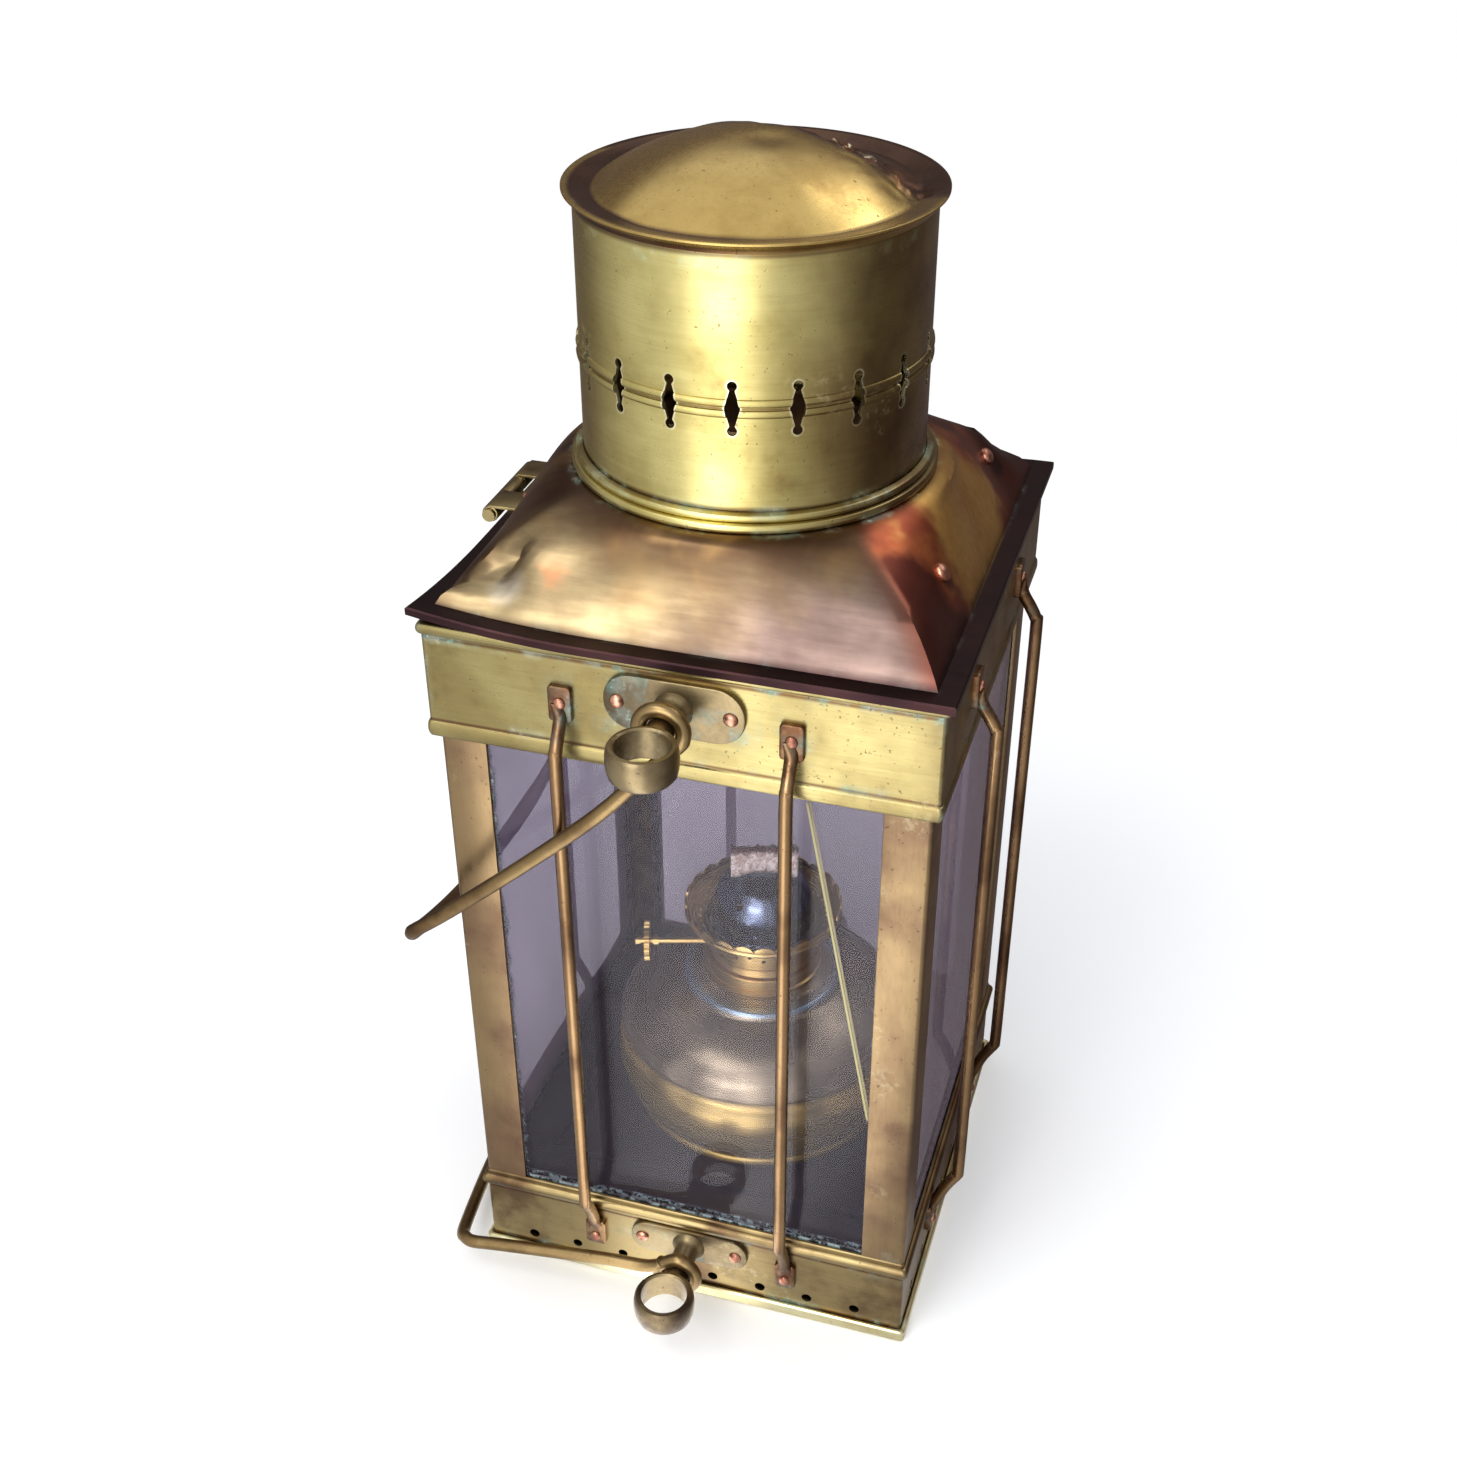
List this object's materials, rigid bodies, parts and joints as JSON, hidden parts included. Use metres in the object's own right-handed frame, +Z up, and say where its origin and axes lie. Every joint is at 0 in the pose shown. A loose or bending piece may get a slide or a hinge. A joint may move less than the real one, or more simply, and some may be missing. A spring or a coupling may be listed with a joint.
{
  "type": "ship's oil lantern",
  "caption": "Square brass ship's lantern with glass panes, guard rods, wire bails, a hinged roof with a round vented chimney, and an oil font with a flat-wick burner.",
  "frame": {"origin": "middle of the underside of the base pan", "axes": "+Z up, the front with the visible guide brackets faces -Y, the lid hinge is on -X"},
  "size_m": [0.1994, 0.2538, 0.423],
  "materials": {
    "brass": "aged and hand polished",
    "rose_brass": "aged, reddish brown",
    "brown_brass": "dark brown patina",
    "dark_tin": "dull dark blue-grey",
    "burner_brass": "satin",
    "blue_steel": "polished, heat blued",
    "spring_brass": "satin",
    "glass": "clear, faintly violet",
    "cotton": "woven, charred at its top"
  },
  "bodies": {
    "case": {"base_pan": "brown_brass", "base_band": "brass", "deck": "dark_tin", "font_tray": "dark_tin", "top_band": "brass", "glazing_ledge": "brown_brass", "post_back_right": "rose_brass", "post_back_left": "rose_brass", "post_front_left": "rose_brass", "post_front_right": "rose_brass", "glazing_angle_back_right": "brown_brass", "glazing_angle_back_left": "brown_brass", "glazing_angle_front_left": "brown_brass", "glazing_angle_front_right": "brown_brass", "pane_front": "glass", "pane_back": "glass", "pane_left": "glass", "pane_right": "glass", "guard_rod_front_a": "rose_brass", "guard_rod_front_b": "rose_brass", "guard_rod_right_a": "rose_brass", "guard_rod_right_b": "rose_brass", "guard_rod_back_a": "rose_brass", "guard_rod_back_b": "rose_brass", "guard_rod_left_a": "rose_brass", "guard_rod_left_b": "rose_brass", "upper_bracket_front": "brass", "lower_bracket_front": "brass", "upper_bracket_back": "brass", "lower_bracket_back": "brass", "hinge_body_leaf": "brass", "hinge_pin": "brass"},
    "lid": {"roof_hood": "brown_brass", "chimney": "brass", "chimney_ring": "brass", "chimney_cap": "brass", "wind_baffle": "brown_brass", "catch_spring": "spring_brass", "hinge_lid_leaf": "brass"},
    "upper_bail": {"upper_bail": "rose_brass"},
    "lower_bail": {"lower_bail": "rose_brass"},
    "font": {"oil_font": "brass", "font_collar": "burner_brass", "burner_body": "burner_brass", "burner_gallery": "burner_brass", "deflector_dome": "blue_steel", "wick_tube": "burner_brass"},
    "winder": {"wick_shaft": "burner_brass", "wick_wheel": "burner_brass"},
    "wick": {"wick": "cotton"}
  },
  "joints": [
    {"name": "lid_hinge", "type": "hinge", "parent": "case", "child": "lid", "pos_m": [-0.0945, 0.012, 0.2845], "axis": [0, -1, 0], "range_deg": [0, 105]},
    {"name": "upper_bail_swing", "type": "hinge", "parent": "case", "child": "upper_bail", "pos_m": [0, 0, 0.2695], "axis": [0, 1, 0], "range_deg": [0, 280]},
    {"name": "lower_bail_swing", "type": "hinge", "parent": "case", "child": "lower_bail", "pos_m": [0, 0, 0.0254], "axis": [0, -1, 0], "range_deg": [-24, 158]},
    {"name": "font_lift", "type": "slide", "parent": "case", "child": "font", "axis": [0, 0, 1], "range_m": [0, 0.11]},
    {"name": "winder_turn", "type": "hinge", "parent": "font", "child": "winder", "pos_m": [0.00575, -0.00574, 0.115], "axis": [0.9563, 0.2924, 0], "range_deg": [-150, 75]},
    {"name": "wick_raise", "type": "slide", "parent": "font", "child": "wick", "axis": [0, 0, 1], "range_m": [-0.0118, 0.006]}
  ],
  "couplings": [
    {"joint": "wick_raise", "follows": "winder_turn", "m_per_rad": 0.0044}
  ]
}
